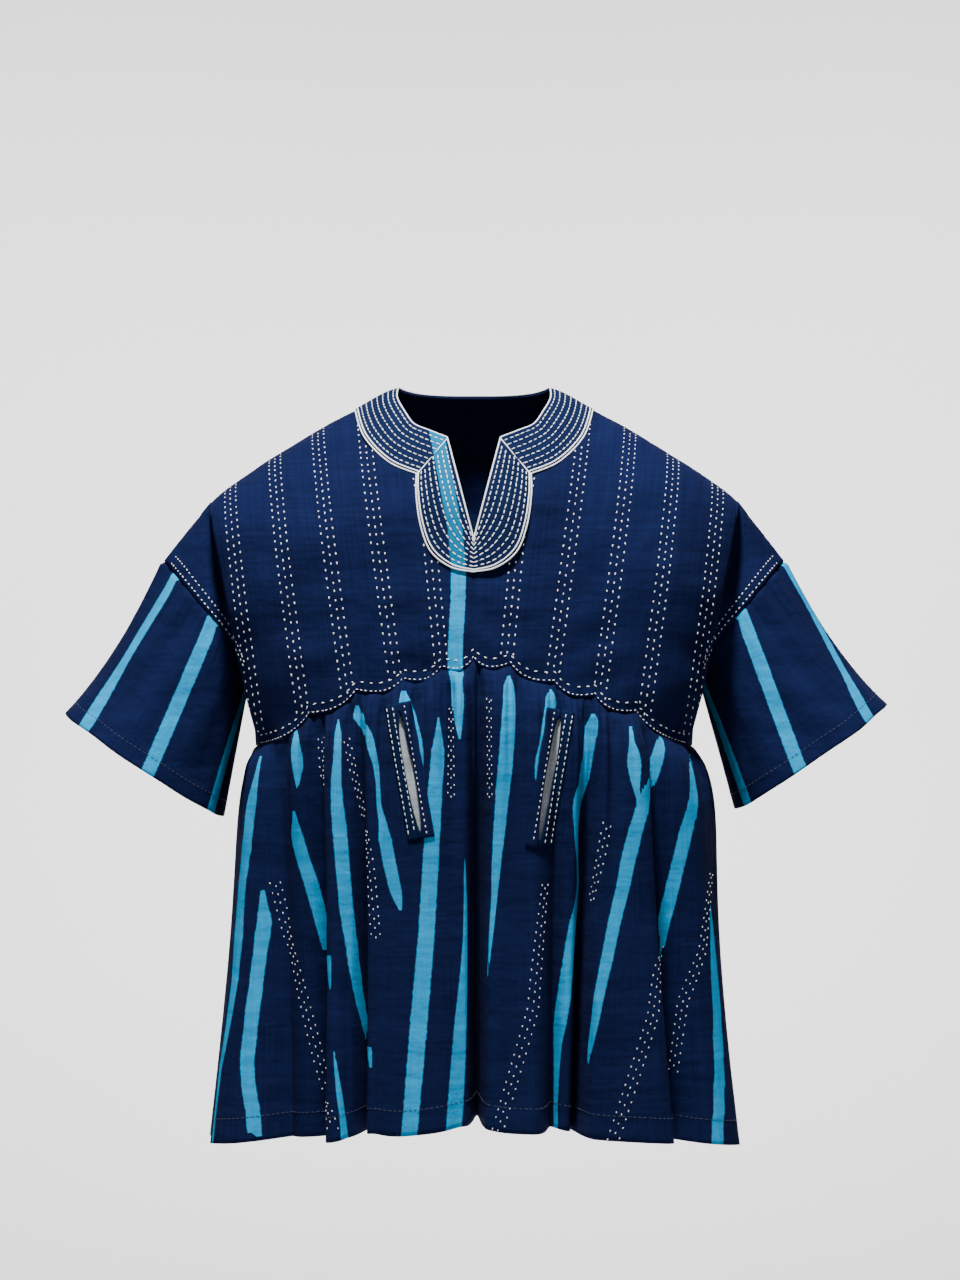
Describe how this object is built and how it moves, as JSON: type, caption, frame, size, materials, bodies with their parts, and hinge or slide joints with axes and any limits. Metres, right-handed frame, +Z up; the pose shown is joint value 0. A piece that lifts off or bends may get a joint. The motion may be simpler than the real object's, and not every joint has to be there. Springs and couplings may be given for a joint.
{
  "type": "fugu smock",
  "caption": "Worn pullover smock with a stitched neck band and slit, short wide sleeves and a striped skirt gathered to an arched seam.",
  "frame": {"origin": "midway between the two points where the shoulder seams meet the neck, at their height; the wearer's shoulders carry the smock there", "axes": "+Z up, -Y out of the front, +X to the right of someone facing the front (the wearer's left)"},
  "size_m": [0.764, 0.3563, 0.6937],
  "materials": {
    "smock_cloth": "matt navy cotton weave with turquoise stripes and white running stitches",
    "band_cloth": "navy band covered with rows of white stitches",
    "welt_cloth": "very dark navy weave with white stitches",
    "pocket_cloth": "thin pale grey plain weave"
  },
  "bodies": {
    "root": {"bodice_front": "smock_cloth", "bodice_back": "smock_cloth", "skirt_front": "smock_cloth", "skirt_back": "smock_cloth", "sleeve_left": "smock_cloth", "sleeve_right": "smock_cloth", "neck_band": "band_cloth", "slit_band": "band_cloth", "pocket_left_outer_welt": "welt_cloth", "pocket_left_inner_welt": "welt_cloth", "pocket_right_outer_welt": "welt_cloth", "pocket_right_inner_welt": "welt_cloth", "pocket_left_lining": "pocket_cloth", "pocket_right_lining": "pocket_cloth"}
  },
  "joints": []
}
